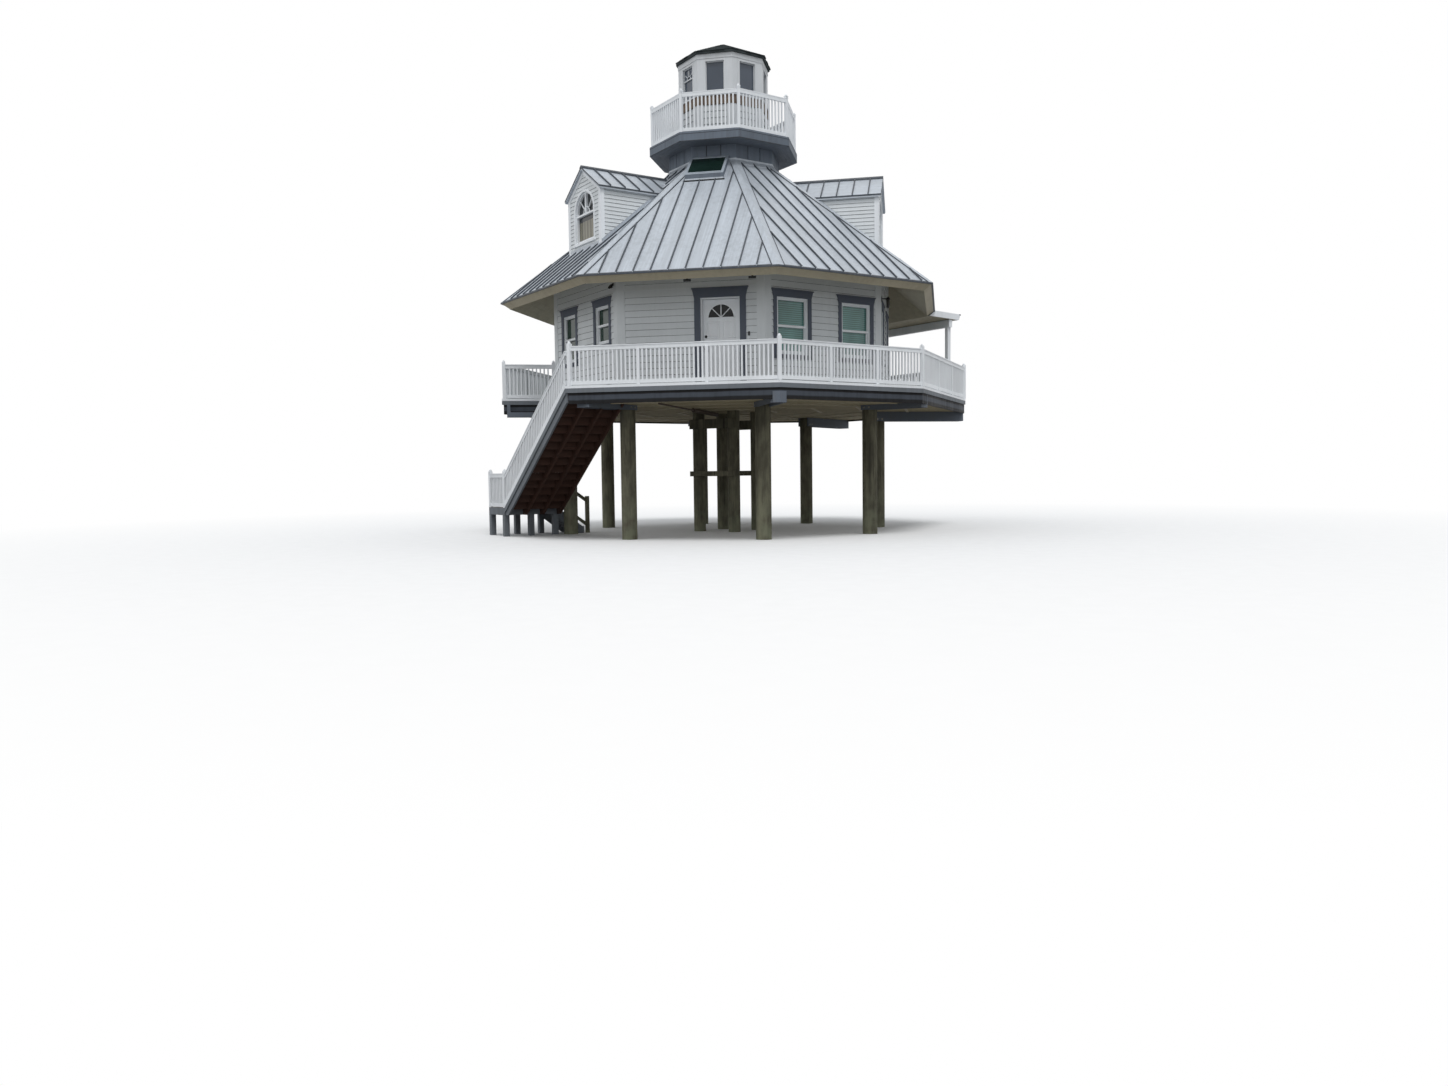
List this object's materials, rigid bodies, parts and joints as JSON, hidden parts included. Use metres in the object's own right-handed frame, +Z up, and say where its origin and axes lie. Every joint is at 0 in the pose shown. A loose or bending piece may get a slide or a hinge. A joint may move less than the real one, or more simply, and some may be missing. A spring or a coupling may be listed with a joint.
{
  "type": "octagonal raised beach house",
  "caption": "Octagonal house raised on round timber piles, with a wrap-around railed deck, a stair, a pyramid roof with dormers and a railed glazed lantern on top.",
  "frame": {"origin": "at ground level under the middle of the whole part's outline", "axes": "+Z up, the front wall with the entrance door faces -Y, +X to the right of someone facing the door"},
  "size_m": [12.7836, 12.2608, 13.306],
  "materials": {
    "weathered_pile": "weathered",
    "deck_plank": "weathered",
    "redwood": "stained",
    "white_paint": "satin paint",
    "siding": "painted lap boards",
    "grey_paint": "painted",
    "dark_grey_paint": "painted",
    "slate_paint": "painted",
    "cream_paint": "painted",
    "metal_roof": "standing seam, satin",
    "window_glass": "clear with closed blinds behind"
  },
  "bodies": {
    "house": {"outer_piles": "weathered_pile", "inner_piles": "weathered_pile", "inner_beams": "weathered_pile", "radial_beams": "dark_grey_paint", "underside_ceiling": "cream_paint", "floor_frame": "dark_grey_paint", "house_floor": "deck_plank", "deck_boards": "deck_plank", "deck_fascia": "grey_paint", "deck_curb": "white_paint", "deck_posts": "white_paint", "front_rail": "white_paint", "right_rails": "white_paint", "porch_rail": "white_paint", "rear_rails": "white_paint", "left_end_rail": "white_paint", "stair_stringers": "grey_paint", "stair_treads": "redwood", "stair_risers": "redwood", "stair_landing": "grey_paint", "stair_rail": "white_paint", "landing_rail": "white_paint", "lower_stair": "grey_paint", "lower_stair_rail": "weathered_pile", "front_wall": "siding", "right_front_wall": "siding", "right_wall": "siding", "left_front_wall": "siding", "rear_walls": "siding", "corner_boards": "white_paint", "door_frame": "white_paint", "door_casing": "dark_grey_paint", "door_hinges": "dark_grey_paint", "window_casings": "dark_grey_paint", "window_frames": "white_paint", "window_glass": "window_glass", "main_roof": "metal_roof", "roof_lining": "cream_paint", "hip_caps": "metal_roof", "dormer_walls": "siding", "dormer_roofs": "metal_roof", "dormer_windows": "white_paint", "dormer_glass": "window_glass", "skylight_frame": "grey_paint", "skylight_glass": "window_glass", "lantern_neck": "slate_paint", "lantern_walk": "slate_paint", "lantern_rail": "white_paint", "lantern_walls": "siding", "lantern_band": "redwood", "lantern_glass": "window_glass", "lantern_roof": "slate_paint", "porch_roof": "metal_roof", "porch_frame": "white_paint", "wall_light": "dark_grey_paint"},
    "entrance_door": {"door_leaf": "white_paint", "door_fanlight": "window_glass"}
  },
  "joints": [
    {"name": "entrance_door_hinge", "type": "hinge", "parent": "house", "child": "entrance_door", "pos_m": [1.02267, -4.6106, 3.716], "axis": [0, 0, -1], "range_deg": [0, 95]}
  ]
}
